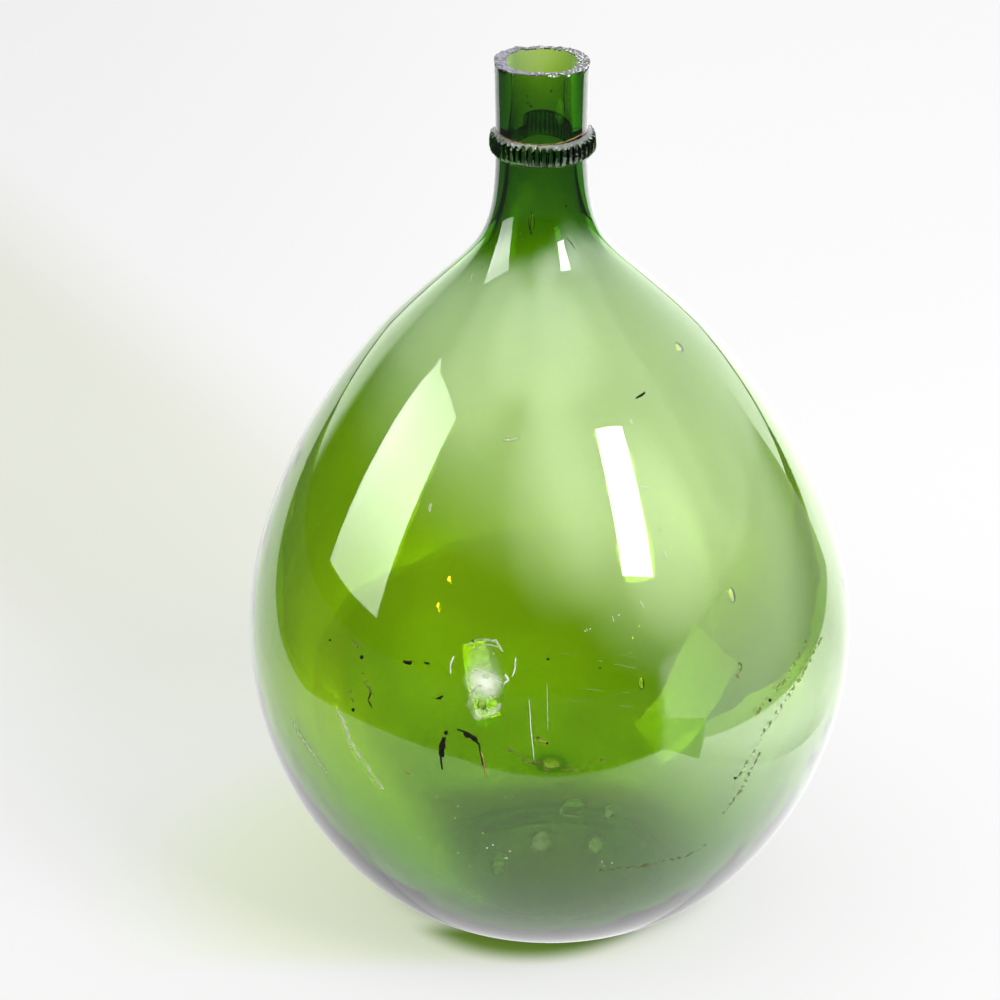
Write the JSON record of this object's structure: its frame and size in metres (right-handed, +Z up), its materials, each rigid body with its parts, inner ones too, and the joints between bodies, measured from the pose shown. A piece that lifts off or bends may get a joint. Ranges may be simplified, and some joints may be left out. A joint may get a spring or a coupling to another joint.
{
  "type": "demijohn",
  "caption": "Free-blown green glass demijohn: a large pear-shaped body with a pushed-up base, a narrow neck with a cracked-off open mouth, and a ribbed glass band round the neck.",
  "frame": {"origin": "centre of the bounding box at the flat foot that the vessel stands on, which is the middle of the foot", "axes": "+Z up along the vessel's height, -Y towards the front, where the picture was taken from, +X to the right"},
  "size_m": [0.39, 0.39, 0.5787],
  "materials": {
    "vessel_glass": "clear bottle green, fire polished outside, with seeds and a few scratches; a rough grey break at the mouth",
    "band_glass": "darker bottle green, wavy and ribbed"
  },
  "bodies": {
    "root": {"glass_vessel": "vessel_glass", "neck_band": "band_glass"}
  },
  "joints": []
}
